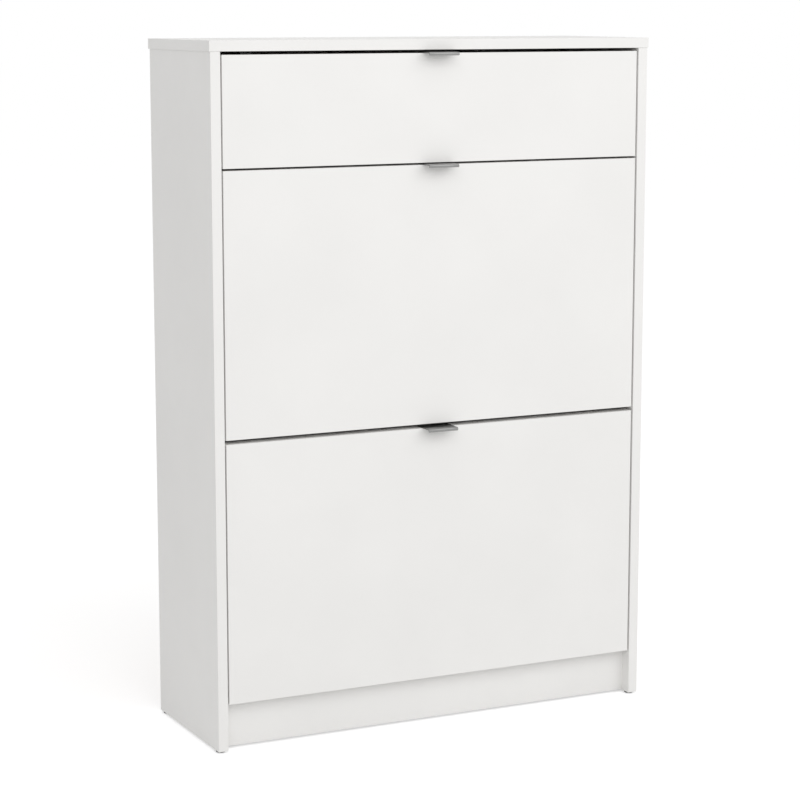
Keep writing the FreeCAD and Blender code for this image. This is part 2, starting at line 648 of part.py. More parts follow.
def corner_screw_seats():
    """Where the four screws enter the drawer's sides, over the ends of its back."""
    y = DRAWER_BACK_Y - DRAWER_BOARD / 2
    return [(FreeCAD.Vector(side * (DRAWER_OUTER - SCREW_HEAD), y, z), X * -side) for side in SIDES.values()
            for z in (DRAWER_FLOOR + CAM_SETBACK, DRAWER_SIDE_TOP - CAM_SETBACK)]


def drawer_front():
    """The drawer's front, grooved for the bottom."""
    panel = box((-FRONT_HALF, FRONT_HALF), (FACE, FACE_BACK), (DRAWER_LOW, DRAWER_TOP))
    panel = eased(panel, panel.Edges)
    holes = [joint.panel_hole() for joint in drawer_cams()] + [drawer_floor_outline(GROOVE_CLEARANCE)]
    holes += [screw_hole(seat, Y * -1) for seat in handle_screw_seats(DRAWER_TOP)]
    return panel.cut(holes)


def drawer_side(side):
    """A drawer side with its groove, cam seats and screw holes."""
    x_range = (side * DRAWER_INNER, side * DRAWER_OUTER)
    board = box(x_range, (FACE_BACK, DRAWER_BACK_Y), (DRAWER_SIDE_LOW, DRAWER_SIDE_TOP))
    holes = [hole for joint in drawer_cams() for hole in joint.board_holes()]
    holes.append(drawer_floor_outline(GROOVE_CLEARANCE))
    for seat, inward in corner_screw_seats():
        holes.append(screw_hole(seat, inward, BOX_SCREW_LENGTH, BOX_SCREW_RADIUS))
        holes.append(rod(SCREW_HEAD_RADIUS + HOLE_CLEARANCE, seat, inward * -1, SCREW_HEAD))
    for y in drawer_runner_screw_places():
        holes.append(screw_hole(FreeCAD.Vector(side * DRAWER_OUTER, y, drawer_screw_z()), X * -side))
    near = [hole for hole in holes if hole.BoundBox.XMax * side > 0 or hole.BoundBox.XMin * side > 0]
    return board.cut(near)


def drawer_back():
    """The drawer's back, which stands on the bottom."""
    low = DRAWER_FLOOR + HARDBOARD + GROOVE_CLEARANCE
    y_range = (DRAWER_BACK_Y - DRAWER_BOARD, DRAWER_BACK_Y)
    board = box((-DRAWER_INNER, DRAWER_INNER), y_range, (low, DRAWER_SIDE_TOP))
    return board.cut([screw_hole(seat, inward, BOX_SCREW_LENGTH, BOX_SCREW_RADIUS)
                      for seat, inward in corner_screw_seats()])


def corner_screws():
    """The screws that hold the drawer's sides to its back, heads flush."""
    return Part.makeCompound([screw(seat, inward, BOX_SCREW_LENGTH, SCREW_HEAD, BOX_SCREW_RADIUS)
                              for seat, inward in corner_screw_seats()])


# ---- runners and rollers -------------------------------------------------------------------
def drawer_screw_z():
    """The height of the screws that hold the drawer members."""
    return DRAWER_SIDE_LOW + SCREW_HEAD_RADIUS + AXLE_RADIUS


def drawer_runner_screw_places():
    """Where the drawer members are screwed on, along Y."""
    return [FACE_BACK + RUNNER_LENGTH * share for share in (0.25, 0.5, 0.75)]


def axle(base, direction, reach):
    """A rivet axle with its head in the roller's pocket."""
    stub = rod(AXLE_RADIUS, base, direction, reach)
    return [stub, rod(RIVET_RADIUS, base + direction * (reach - RIVET_HEAD), direction, RIVET_HEAD)]


def cabinet_runner(side):
    """The channel on a side panel, with the front roller's axle."""
    outer = side * INNER_HALF
    web_face = side * (INNER_HALF - RUNNER_SHEET)
    lip = side * (INNER_HALF - RUNNER_FLANGE)
    y_range = (RUNNER_FRONT, RUNNER_FRONT + RUNNER_LENGTH)
    web = box((outer, web_face), y_range, (RUNNER_LOW, RUNNER_TOP))
    floor = box((outer, lip), y_range, (RUNNER_LOW, RUNNER_LOW + RUNNER_SHEET))
    roof = box((outer, lip), y_range, (RUNNER_TOP - RUNNER_SHEET, RUNNER_TOP))
    base = FreeCAD.Vector(web_face, FRONT_ROLLER_Y, FRONT_AXIS_Z)
    runner = fused([web, floor, roof] + axle(base, X * -side, ROLLER_WEB_GAP + ROLLER_WIDTH - SEAT_CLEARANCE))
    seats = [FreeCAD.Vector(web_face, y, REAR_AXIS_Z) for y in runner_screw_places()]
    return runner.cut([screw_hole(seat, X * side) for seat in seats])


def cabinet_runner_screws():
    """The screws of both cabinet members."""
    return Part.makeCompound([
        screw(FreeCAD.Vector(side * (INNER_HALF - RUNNER_SHEET), y, REAR_AXIS_Z), X * side)
        for side in SIDES.values() for y in runner_screw_places()])


def drawer_runner(side):
    """The member on a drawer side: web, foot under the side, running flange, rear roller's axle."""
    inner = side * DRAWER_OUTER
    web_face = side * (DRAWER_OUTER + RUNNER_SHEET)
    y_range = (FACE_BACK, FACE_BACK + RUNNER_LENGTH)
    low = DRAWER_SIDE_LOW - RUNNER_SHEET
    top = RUNNING_FLANGE_Z + RUNNER_SHEET
    web = box((inner, web_face), y_range, (low, top))
    foot = box((side * (DRAWER_OUTER - RUNNER_FOOT), web_face), y_range, (low, DRAWER_SIDE_LOW))
    flange_edge = side * (INNER_HALF - RUNNER_SHEET - ROLLER_WEB_GAP)
    flange = box((inner, flange_edge), y_range, (RUNNING_FLANGE_Z, top))
    base = FreeCAD.Vector(web_face, REAR_ROLLER_Y, REAR_AXIS_Z)
    runner = fused([web, foot, flange] + axle(base, X * side, ROLLER_WEB_GAP + ROLLER_WIDTH - SEAT_CLEARANCE))
    seats = [FreeCAD.Vector(web_face, y, drawer_screw_z()) for y in drawer_runner_screw_places()]
    return runner.cut([screw_hole(seat, X * -side) for seat in seats])


def drawer_runner_screws():
    """The screws of both drawer members."""
    return Part.makeCompound([
        screw(FreeCAD.Vector(side * (DRAWER_OUTER + RUNNER_SHEET), y, drawer_screw_z()), X * -side,
              SCREW_LENGTH, DRAWER_SCREW_HEAD)
        for side in SIDES.values() for y in drawer_runner_screw_places()])


def roller(start, direction):
    """A plastic roller on its axle, with a pocket for the rivet's head at its far end."""
    wheel = rod(ROLLER_RADIUS, start, direction, ROLLER_WIDTH)
    bore = rod(AXLE_RADIUS + PIVOT_CLEARANCE, start, direction, ROLLER_WIDTH)
    depth = RIVET_POCKET + SEAT_CLEARANCE
    pocket = rod(RIVET_RADIUS + SEAT_CLEARANCE, start + direction * (ROLLER_WIDTH - depth), direction, depth)
    return wheel.cut([bore, pocket])


def front_roller(side):
    """The roller at the front of a cabinet member, which carries the drawer."""
    x = side * (INNER_HALF - RUNNER_SHEET - ROLLER_WEB_GAP)
    return roller(FreeCAD.Vector(x, FRONT_ROLLER_Y, FRONT_AXIS_Z), X * -side)


def rear_roller(side):
    """The roller at the rear of a drawer member, which runs in the channel."""
    x = side * (DRAWER_OUTER + RUNNER_SHEET + ROLLER_WEB_GAP)
    return roller(FreeCAD.Vector(x, REAR_ROLLER_Y, REAR_AXIS_Z), X * side)


# ---- flaps ---------------------------------------------------------------------------------
def swing_limit(behind):
    """The highest point above the pivot that clears the shelf, for a point behind the pivot."""
    turn = math.radians(FLAP_ANGLE)
    at_end = (CEILING - behind * math.sin(turn)) / math.cos(turn)
    if at_end <= behind / math.tan(turn):
        return at_end
    return math.sqrt(CEILING ** 2 - behind ** 2)


REAR_TOP = swing_limit(REAR_BOARD + HARDBOARD) - REAR_BOARD_DROP
MIDDLE_TOP = swing_limit(MIDDLE_BOARD + HARDBOARD) - MIDDLE_BOARD_DROP
PLATE_TOP = DOOR_HEIGHT - PIVOT_RISE - PLATE_TOP_DROP


def in_flap(flap, points):
    """Points given as (behind the pivot, above the pivot), as (y, z)."""
    centre = pivot(flap)
    return [(centre.y + behind, centre.z + above) for behind, above in points]


def tray_boards():
    """Each tray board's section: (behind, above) of its lower front and upper rear corners."""
    middle_back = MIDDLE_BOARD + HARDBOARD
    rear_back = REAR_BOARD + HARDBOARD
    return {
        "front_floor": ((DOOR_BACK, -FRONT_TRAY_DROP - HARDBOARD), (middle_back, -FRONT_TRAY_DROP)),
        "middle_board": ((MIDDLE_BOARD, -FRONT_TRAY_DROP), (middle_back, MIDDLE_TOP)),
        "rear_floor": ((middle_back, -REAR_TRAY_DROP - HARDBOARD), (rear_back, -REAR_TRAY_DROP)),
        "rear_board": ((REAR_BOARD, -REAR_TRAY_DROP), (rear_back, REAR_TOP)),
    }


def tray(flap, name, clearance=0.0):
    """A tray board between the end plates, or with a clearance the grooves for its ends."""
    (behind0, above0), (behind1, above1) = tray_boards()[name]
    (y0, z0), (y1, z1) = in_flap(flap, [(behind0, above0), (behind1, above1)])
    half = PLATE_INNER + TRAY_GROOVE + clearance
    front_clearance = 0.0 if name == "front_floor" else clearance
    return box((-half, half), (y0 - front_clearance, y1 + clearance), (z0 - clearance, z1 + clearance))


def plate_screw_seats(flap, side):
    """Where the screws enter an end plate's flange from behind."""
    low = -FRONT_TRAY_DROP + 2 * END_PLATE_CORNER
    high = PLATE_TOP - 2 * END_PLATE_CORNER
    x = side * (PLATE_INNER - END_FLANGE / 2)
    steps = [low + (high - low) * step / (PLATE_SCREWS - 1) for step in range(PLATE_SCREWS)]
    places = in_flap(flap, [(DOOR_BACK + END_FLANGE_SHEET, above) for above in steps])
    return [FreeCAD.Vector(x, y, z) for y, z in places]


def curved_slot(flap, side):
    """The blind slot in an end plate's outer face that runs over the stop stud."""
    half_width = STUD_RADIUS + SEAT_CLEARANCE
    start = X * (side * (PLATE_OUTER - STUD_SLOT_DEPTH))
    ends = [stud_point(flap, angle) + start for angle in (STUD_ANGLE, STUD_ANGLE + FLAP_ANGLE)]
    caps = [rod(half_width, end, X * side, STUD_SLOT_DEPTH) for end in ends]
    centre = pivot(flap) + start
    direction = X * side
    outer = rod(STUD_ARC + half_width, centre, direction, STUD_SLOT_DEPTH)
    ring = outer.cut(rod(STUD_ARC - half_width, centre, direction, STUD_SLOT_DEPTH))
    corners = [centre] + [centre + (end - centre) * 2 for end in ends]
    wedge = Part.Face(Part.makePolygon(corners + corners[:1])).extrude(direction * STUD_SLOT_DEPTH)
    return [ring.common(wedge)] + caps


def end_plate(flap, side):
    """A moulded end plate: web with tray grooves, screw flange, pivot pin and curved slot."""
    rim = HARDBOARD + TRAY_RIM
    rear = REAR_BOARD + rim
    low = -FRONT_TRAY_DROP - rim
    outline = in_flap(flap, [
        (DOOR_BACK, low), (MIDDLE_BOARD + rim, low), (rear, -REAR_TRAY_DROP - rim),
        (rear, REAR_TOP), (DOOR_BACK, PLATE_TOP),
    ])
    inner, outer = side * PLATE_INNER, side * PLATE_OUTER
    web = rounded(prism(outline, inner, outer), END_PLATE_CORNER, outline[2:4])
    flange_corners = [
        (DOOR_BACK, -FRONT_TRAY_DROP + END_CLEARANCE),
        (DOOR_BACK + END_FLANGE_SHEET, PLATE_TOP - END_PLATE_CORNER),
    ]
    (y0, z0), (y1, z1) = in_flap(flap, flange_corners)
    flange = box((side * (PLATE_INNER - END_FLANGE), outer), (y0, y1), (z0, z1))
    web_pin = pivot(flap) + X * (side * (PLATE_OUTER - END_PLATE / 2))
    shoulder_reach = SHOULDER_OUTER - PLATE_OUTER + END_PLATE / 2
    shoulder = rod(SHOULDER_RADIUS, web_pin, X * side, shoulder_reach)
    pin = rod(PIVOT_RADIUS, web_pin, X * side, shoulder_reach + PIVOT_LENGTH)
    grooves = [tray(flap, name, GROOVE_CLEARANCE) for name in tray_boards()]
    holes = [screw_hole(seat, Y * -1) for seat in plate_screw_seats(flap, side)]
    plate = fused([web, flange, shoulder, pin])
    return plate.cut(grooves + curved_slot(flap, side) + holes)


def flap_door(flap):
    """A flap's door with the holes for its handle and end plates."""
    low = FLAP_FLOORS[flap]
    door = box((-FRONT_HALF, FRONT_HALF), (FACE, FACE_BACK), (low, low + DOOR_HEIGHT))
    door = eased(door, door.Edges)
    holes = [screw_hole(seat, Y * -1) for seat in handle_screw_seats(low + DOOR_HEIGHT)]
    for side in SIDES.values():
        holes += [screw_hole(seat, Y * -1) for seat in plate_screw_seats(flap, side)]
    return door.cut(holes)


def plate_screws(flap):
    """The screws that hold both end plates to the door."""
    seats = [seat for side in SIDES.values() for seat in plate_screw_seats(flap, side)]
    return Part.makeCompound([screw(seat, Y * -1) for seat in seats])


def flap_parts(flap):
    """Every piece of one flap, by node name."""
    top_edge = FLAP_FLOORS[flap] + DOOR_HEIGHT
    parts = {f"{flap}_door": flap_door(flap)}
    parts[f"{flap}_door_handle"] = handle(top_edge)
    parts[f"{flap}_handle_screws"] = handle_screws(top_edge)
    for word, side in SIDES.items():
        parts[f"{flap}_flap_{word}_end_plate"] = end_plate(flap, side)
    for name in tray_boards():
        parts[f"{flap}_flap_{name}"] = tray(flap, name)
    parts[f"{flap}_flap_plate_screws"] = plate_screws(flap)
    return parts


# ---- the whole cabinet ---------------------------------------------------------------------
def carcass_parts():
    """Every piece of the standing cabinet, by node name."""
    cams = all_shelf_cams() + top_cams()
    brackets = list(zip(wall_hole_points(), bracket_screw_seats()))
    studs = [(flap, side) for flap in FLAP_FLOORS for side in SIDES.values()]
    parts = {"top_panel": top_panel(), "plinth_board": plinth_board()}
    parts["back_joint_strip"] = back_joint_strip()
    parts.update({f"{word}_side_panel": side_panel(side) for word, side in SIDES.items()})
    parts.update({name: carcass_board(name) for name in BOARD_TOPS})
    parts.update(back_panels())
    parts["back_panel_nails"] = Part.makeCompound([nail(x, z) for x, z in nail_places()])
    parts["cam_locks"] = Part.makeCompound([joint.cam() for joint in cams])
    parts["cam_dowels"] = Part.makeCompound([joint.dowel() for joint in cams])
    parts["beech_dowels"] = Part.makeCompound([peg.solid() for peg in all_pegs()])
    parts["floor_glides"] = Part.makeCompound([floor_glide(point) for point in glide_points()])
    parts["pivot_bushes"] = Part.makeCompound([pivot_bush(flap, side) for flap, side in studs])
    parts["stop_studs"] = Part.makeCompound([stop_stud(flap, side) for flap, side in studs])
    parts["door_bumpers"] = Part.makeCompound([bumper(shelf, side) for shelf in ("drawer_shelf", "flap_shelf")
                                               for side in SIDES.values()])
    parts["wall_brackets"] = Part.makeCompound([wall_bracket(point, seat) for point, seat in brackets])
    parts["wall_bracket_screws"] = Part.makeCompound([screw(seat, Z) for seat in bracket_screw_seats()])
    parts["cabinet_runner_screws"] = cabinet_runner_screws()
    for word, side in SIDES.items():
        parts[f"{word}_cabinet_runner"] = cabinet_runner(side)
        parts[f"{word}_front_roller"] = front_roller(side)
    return parts


def drawer_parts():
    """Every piece of the drawer, by node name."""
    parts = {"drawer_front": drawer_front(), "drawer_back": drawer_back()}
    parts["drawer_bottom"] = drawer_floor_outline(0.0)
    parts["drawer_handle"] = handle(DRAWER_TOP)
    parts["drawer_handle_screws"] = handle_screws(DRAWER_TOP)
    parts["drawer_front_fixings"] = Part.makeCompound(
        [joint.cam() for joint in drawer_cams()] + [joint.dowel() for joint in drawer_cams()])
    parts["drawer_corner_screws"] = corner_screws()
    parts["drawer_runner_screws"] = drawer_runner_screws()
    for word, side in SIDES.items():
        parts[f"drawer_{word}_side"] = drawer_side(side)
        parts[f"{word}_drawer_runner"] = drawer_runner(side)
        parts[f"{word}_rear_roller"] = rear_roller(side)
    return parts


def main():
    """Build every piece and write one STEP file for each."""
    os.makedirs("parts", exist_ok=True)
    parts = carcass_parts()
    parts.update(drawer_parts())
    for flap in FLAP_FLOORS:
        parts.update(flap_parts(flap))
    for name, shape in parts.items():
        shape.exportStep(f"parts/{name}.step")
        print(f"{name}: {len(shape.Solids)} solid(s), {shape.Volume / 1000:.1f} cm3")
    print(f"{len(parts)} nodes, drawer travel {DRAWER_TRAVEL:.1f}")


main()
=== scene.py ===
"""Finishes, turned and bent fittings, light and camera for a white shoe cabinet.

The cabinet has one drawer over two flaps that tilt out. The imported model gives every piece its
place and size. Here every surface gets its finish, and the small fittings are swapped for
detailed ones. Sizes are in millimetres and meshes in metres, +Z up, with the fronts facing -Y.
"""

import json
import logging
import math
from collections.abc import Callable, Sequence
from dataclasses import dataclass, field
from enum import Enum

import bmesh
import bpy
from mathutils import Matrix, Vector


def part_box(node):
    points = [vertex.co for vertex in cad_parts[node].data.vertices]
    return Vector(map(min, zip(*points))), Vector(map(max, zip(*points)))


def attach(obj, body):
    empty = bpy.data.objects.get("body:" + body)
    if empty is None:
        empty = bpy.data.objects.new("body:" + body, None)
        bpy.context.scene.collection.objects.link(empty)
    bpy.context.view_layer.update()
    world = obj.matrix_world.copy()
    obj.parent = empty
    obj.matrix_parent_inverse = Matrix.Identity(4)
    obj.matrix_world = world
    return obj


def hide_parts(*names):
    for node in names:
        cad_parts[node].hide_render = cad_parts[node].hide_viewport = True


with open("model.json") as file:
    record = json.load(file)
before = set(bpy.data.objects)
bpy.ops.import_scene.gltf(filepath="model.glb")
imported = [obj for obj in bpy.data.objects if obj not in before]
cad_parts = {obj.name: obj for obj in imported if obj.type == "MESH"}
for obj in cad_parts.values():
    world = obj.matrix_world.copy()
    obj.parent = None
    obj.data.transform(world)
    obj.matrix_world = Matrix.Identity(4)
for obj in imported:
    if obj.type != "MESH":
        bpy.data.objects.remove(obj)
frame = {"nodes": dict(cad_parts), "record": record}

MM = 0.001
WELD = 0.001 * MM  # points of a drawn shape that lie this near are one
PACKED_WELD = 0.005 * MM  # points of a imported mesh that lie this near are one
SAME_PLACE = 0.01 * MM  # a corner this near to a place is at that place
FLUSH = 0.02 * MM  # a point this near to a face lies in it
LEVEL_BAND = 0.05 * MM  # a point this near to a level is on it
SHARP_TURN = math.radians(60)  # edges that turn by more than this are eased
NOISE_SPAN = (0.3, 0.7)  # nearly all values of soft noise lie between these
LOG = logging.getLogger("shoe_cabinet")

Tree = bpy.types.NodeTree
Socket = bpy.types.NodeSocket
Shape = bmesh.types.BMesh
Face = bmesh.types.BMFace
Edge = bmesh.types.BMEdge
Colour = tuple[float, float, float, float]
Profile = Sequence[tuple[float, float]]
WHITE: Colour = (1.0, 1.0, 1.0, 1.0)


# ---- materials -----------------------------------------------------------------------------
def linear(code: str) -> Colour:
    """Turn an sRGB hex colour into a linear one.

    Args:
        code: Six hex digits, red first.

    Returns:
        Red, green, blue and an alpha of one.
    """
    channels = [int(code[place:place + 2], 16) / 255 for place in (0, 2, 4)]
    red, green, blue = (
        c / 12.92 if c <= 0.04045 else ((c + 0.055) / 1.055) ** 2.4 for c in channels)
    return red, green, blue, 1.0


def repeats(size_mm: float) -> float:
    """Texture scale that makes a pattern's features about this many millimetres across."""
    return 1.0 / (size_mm * MM)


def add(
    tree: Tree,
    kind: str,
    inputs: dict[str | int, object] | None = None,
    **settings: object,
) -> bpy.types.Node:
    """Add a node with its settings and its inputs.

    Args:
        tree: The node tree to add to.
        kind: The node's type.
        inputs: Names or numbers of inputs, each with a value or with the socket that feeds it.
        settings: The node's own settings.

    Returns:
        The new node.
    """
    node = tree.nodes.new(kind)
    for name, value in settings.items():
        setattr(node, name, value)
    for name, value in (inputs or {}).items():
        if isinstance(value, Socket):
            tree.links.new(value, node.inputs[name])
        else:
            node.inputs[name].default_value = value
    return node


def maths(tree: Tree, operation: str, first: Socket, second: Socket | float) -> Socket:
    """Give what an operation makes of two numbers."""
    inputs = {0: first, 1: second}
    return add(tree, "ShaderNodeMath", inputs, operation=operation).outputs["Value"]


@dataclass(frozen=True)
class Finish:
    """A material: what it is made of and how its surface shows that.

    Attributes:
        name: The material's common name.
        dark: Its darker colour, in sRGB hex.
        light: Its lighter colour, in sRGB hex.
        roughness: Mean roughness.
        swing: How far the roughness wanders to either side of the mean.
        mottle: Size in mm of the patches in which the colour wanders.
        grain: Size in mm of the surface's relief.
        relief: Height in mm of that relief.
        metallic: One for bare metal.
        ior: Index of refraction, which a metal leaves at the default.
        fineness: How much finer the patterns are along X, Y and Z.
    """

    name: str
    dark: str
    light: str
    roughness: float
    swing: float = 0.03
    mottle: float = 80.0
    grain: float = 4.0
    relief: float = 0.01
    metallic: float = 0.0
    ior: float = 1.5
    fineness: tuple[float, float, float] = (1.0, 1.0, 1.0)

    def material(self) -> bpy.types.Material:
        """Give the material, built on its first use."""
        found = bpy.data.materials.get(self.name)
        if found:
            return found
        made = bpy.data.materials.new(self.name)
        made.use_nodes = True
        tree = made.node_tree
        tree.nodes.clear()
        place = add(tree, "ShaderNodeTexCoord").outputs["Object"]
        shader = add(tree, "ShaderNodeBsdfPrincipled", {
            "Base Color": self.colour(tree, place),
            "Roughness": self.sheen(tree, self.drawn_out(tree, place)),
            "Normal": self.bump(tree, self.drawn_out(tree, place)),
            "Metallic": self.metallic,
        })
        if not self.metallic:
            shader.inputs["IOR"].default_value = self.ior
        add(tree, "ShaderNodeOutputMaterial", {"Surface": shader.outputs["BSDF"]})
        return made

    def drawn_out(self, tree: Tree, place: Socket) -> Socket:
        """Give the place, scaled so that the patterns run along the grain."""
        inputs = {"Vector": place, "Scale": self.fineness}
        return add(tree, "ShaderNodeMapping", inputs).outputs["Vector"]

    def colour(self, tree: Tree, place: Socket) -> Socket:
        """Let the colour wander slowly between the dark and the light one."""
        patches = self.noise(tree, self.drawn_out(tree, place), self.mottle)
        return self.blend(tree, patches, self.dark, self.light)

    def noise(self, tree: Tree, place: Socket, size: float, detail: float = 2.0) -> Socket:
        """Give soft noise with features of a size in mm."""
        inputs = {"Vector": place, "Scale": repeats(size), "Detail": detail}
        return add(tree, "ShaderNodeTexNoise", inputs).outputs["Fac"]

    def blend(
        self, tree: Tree, share: Socket, first: str, second: str,
        span: tuple[float, float] = NOISE_SPAN,
    ) -> Socket:
        """Blend two colours.

        Args:
            tree: The node tree to add to.
            share: What drives the blend.
            first: The colour below the span, in sRGB hex.
            second: The colour above the span, in sRGB hex.
            span: Where the blend starts and ends.

        Returns:
            The blended colour.
        """
        ramp = add(tree, "ShaderNodeValToRGB", {"Fac": share})
        for stop, code, position in zip(ramp.color_ramp.elements, (first, second), span):
            stop.position = position
            stop.color = linear(code)
        return ramp.outputs["Color"]

    def sheen(self, tree: Tree, place: Socket) -> Socket:
        """Let the roughness wander in patches a few times the size of the relief."""
        lowest, highest = NOISE_SPAN
        return add(tree, "ShaderNodeMapRange", {
            "Value": self.noise(tree, place, self.grain * 4),
            "From Min": lowest,
            "From Max": highest,
            "To Min": self.roughness - self.swing,
            "To Max": self.roughness + self.swing,
        }).outputs["Result"]

    def bump(self, tree: Tree, place: Socket) -> Socket:
        """Raise the surface's fine relief."""
        height = self.noise(tree, place, self.grain)
        inputs = {"Height": height, "Distance": self.relief * MM}
        return add(tree, "ShaderNodeBump", inputs).outputs["Normal"]


@dataclass(frozen=True)
class Hardboard(Finish):
    """Pressed fibreboard: brown flecked fibre behind, white lacquer on the face that looks in.

    Attributes:
        lacquer: Colour of the lacquered face, in sRGB hex.
        turns_at: Place in mm along Y where the lacquer gives way to bare fibre.
    """

    lacquer: str = "E9E8E5"
    turns_at: float = 128.5

    def colour(self, tree: Tree, place: Socket) -> Socket:
        """Fleck the fibre, and lay the lacquer over the front of it."""
        flecks = self.noise(tree, place, self.grain * 2, 4.0)
        cloud = self.noise(tree, place, self.mottle)
        half = maths(tree, "MULTIPLY", maths(tree, "ADD", flecks, cloud), 0.5)
        fibre = self.blend(tree, half, self.dark, self.light, (0.35, 0.65))
        depth = add(tree, "ShaderNodeSeparateXYZ", {"Vector": place}).outputs["Y"]
        bare = maths(tree, "GREATER_THAN", depth, self.turns_at * MM)
        faces = add(tree, "ShaderNodeMix", {"Factor": bare}, data_type="RGBA")
        front, back = [socket for socket in faces.inputs if socket.type == "RGBA"]
        front.default_value = linear(self.lacquer)
        tree.links.new(fibre, back)
        return next(socket for socket in faces.outputs if socket.type == "RGBA")


# Particle board under melamine foil: an even warm white with a faint orange peel from the press.
# The peel's real cells of about 1 mm are drawn 4 mm across so that they show.
FOIL = Finish(
    "melamine_foil", "EFEEEC", "F2F1EF", 0.5,
    swing=0.04, mottle=140.0, grain=4.0, relief=0.006)
# Back panels: brown pressed fibre, white lacquer on the inner face.
BACK_BOARD = Hardboard(
    "pressed_hardboard", "775538", "8A6746", 0.72,
    swing=0.06, mottle=25.0, grain=1.6, relief=0.05, ior=1.45)
# Trays: hardboard lacquered on both faces, with the fibres faint under the paint.
TRAY_BOARD = Finish(
    "lacquered_hardboard", "E6E5E2", "EAE9E6", 0.42,
    swing=0.05, mottle=70.0, grain=3.0, relief=0.02)
# Handles: anodised aluminium, brushed along the bar, which draws the highlights out along X.
ALUMINIUM = Finish(
    "brushed_anodised_aluminium", "868685", "929291", 0.34,
    swing=0.06, mottle=6.0, grain=1.2, relief=0.01, metallic=1.0, fineness=(0.04, 1.0, 1.0))
# Bushes, rollers and end plates: moulded polypropylene, waxy, with a spark-eroded mould grain.
PLASTIC = Finish(
    "moulded_polypropylene", "E4E4E1", "E9E9E6", 0.44,
    swing=0.05, mottle=40.0, grain=1.4, relief=0.02)
# Bumpers: soft pale rubber, dull.
RUBBER = Finish(
    "bumper_rubber", "B9B9B6", "C6C6C3", 0.62,
    mottle=3.0, grain=0.8, relief=0.01, ior=1.52)
# Floor glides: hard dark nylon, polished a little by the floor.
NYLON = Finish(
    "glide_nylon", "2B2A29", "3A3938", 0.48,
    swing=0.06, mottle=4.0, grain=1.0, relief=0.02, ior=1.53)
# Dowels: turned beech, with short flecks along the grain.
BEECH = Finish(
    "beech", "C79B68", "DDBA8C", 0.6,
    mottle=3.0, grain=1.0, relief=0.04, fineness=(0.15, 1.0, 1.0))
# Cams: die-cast zinc, dull grey with a skin of fine grain.
ZINC = Finish(
    "die_cast_zinc", "8E9092", "A3A5A7", 0.46,
    swing=0.08, mottle=3.0, grain=0.8, relief=0.02, metallic=1.0)
# Runners: steel strip under sprayed white enamel, glossy with a slight orange peel.
ENAMEL = Finish(
    "white_enamel", "E7E7E4", "ECECE9", 0.26,
    swing=0.04, mottle=50.0, grain=2.5, relief=0.003, ior=1.52)
# Screws, nails and angles: steel plated with clear zinc, with bluish and yellowish clouds.
PLATED = Finish(
    "zinc_plated_steel", "9FA3A6", "C0BFB8", 0.3,
    swing=0.08, mottle=5.0, grain=0.8, relief=0.01, metallic=1.0)

SLOT_FINISHES: dict[str, Finish] = {
    "white_foil_board": FOIL,
    "hardboard": BACK_BOARD,
    "white_hardboard": TRAY_BOARD,
    "aluminium": ALUMINIUM,
    "white_plastic": PLASTIC,
    "bumper_rubber": RUBBER,
    "glide_plastic": NYLON,
    "beech": BEECH,
    "zinc": ZINC,
    "white_enamelled_steel": ENAMEL,
    "zinc_plated_steel": PLATED,
}


# ---- meshes --------------------------------------------------------------------------------
def lathe(profile: Profile, steps: int = 24) -> Shape:
    """Spin a profile round the Z axis.

    Args:
        profile: Radius and height in mm of each point, from the bottom up.
        steps: Segments in the full turn.

    Returns:
        The turned shape in metres, closed where its ends lie on the axis.
    """
    mesh = bmesh.new()
    line = [mesh.verts.new((radius * MM, 0.0, height * MM)) for radius, height in profile]
    edges = [mesh.edges.new(pair) for pair in zip(line, line[1:])]
    bmesh.ops.spin(
        mesh, geom=line + edges, cent=(0, 0, 0), axis=(0, 0, 1), angle=math.tau, steps=steps,
        use_merge=True)
    bmesh.ops.remove_doubles(mesh, verts=mesh.verts, dist=WELD)
    bmesh.ops.recalc_face_normals(mesh, faces=mesh.faces)
    return mesh


def outline(points: Profile, plane: Callable[[float, float], tuple[float, float, float]]) -> Shape:
    """Start a mesh with one face.

    Args:
        points: The face's corners in mm.
        plane: Turns a corner into a place in space, in mm.

    Returns:
        A mesh of that one face, in metres.
    """
    mesh = bmesh.new()
    mesh.faces.new([mesh.verts.new(Vector(plane(*point)) * MM) for point in points])
    return mesh


def push_out(mesh: Shape, faces: Sequence[Face], by: Vector) -> None:
    """Extrude faces.

    Args:
        mesh: The mesh to work on.
        faces: The faces to extrude.
        by: How far and which way, in metres.
    """
    made = bmesh.ops.extrude_face_region(mesh, geom=list(faces))["geom"]
    moved = [item for item in made if isinstance(item, bmesh.types.BMVert)]
    bmesh.ops.translate(mesh, vec=by, verts=moved)


def soften(mesh: Shape, edges: Sequence[Edge], size: float, segments: int) -> None:
    """Round edges by a size in mm."""
    bmesh.ops.bevel(
        mesh, geom=list(edges), offset=size * MM, affect="EDGES", segments=segments, profile=0.5,
        material=-1, clamp_overlap=True)


def round_corners(mesh: Shape, corners: Sequence[Vector], size: float, segments: int) -> None:
    """Round those corners of a flat outline that lie at the given places, by a size in mm."""
    chosen = [
        vertex for vertex in mesh.verts
        if any((vertex.co - corner).length < SAME_PLACE for corner in corners)]
    bmesh.ops.bevel(
        mesh, geom=chosen, offset=size * MM, affect="VERTICES", segments=segments, profile=0.5,
        material=-1)


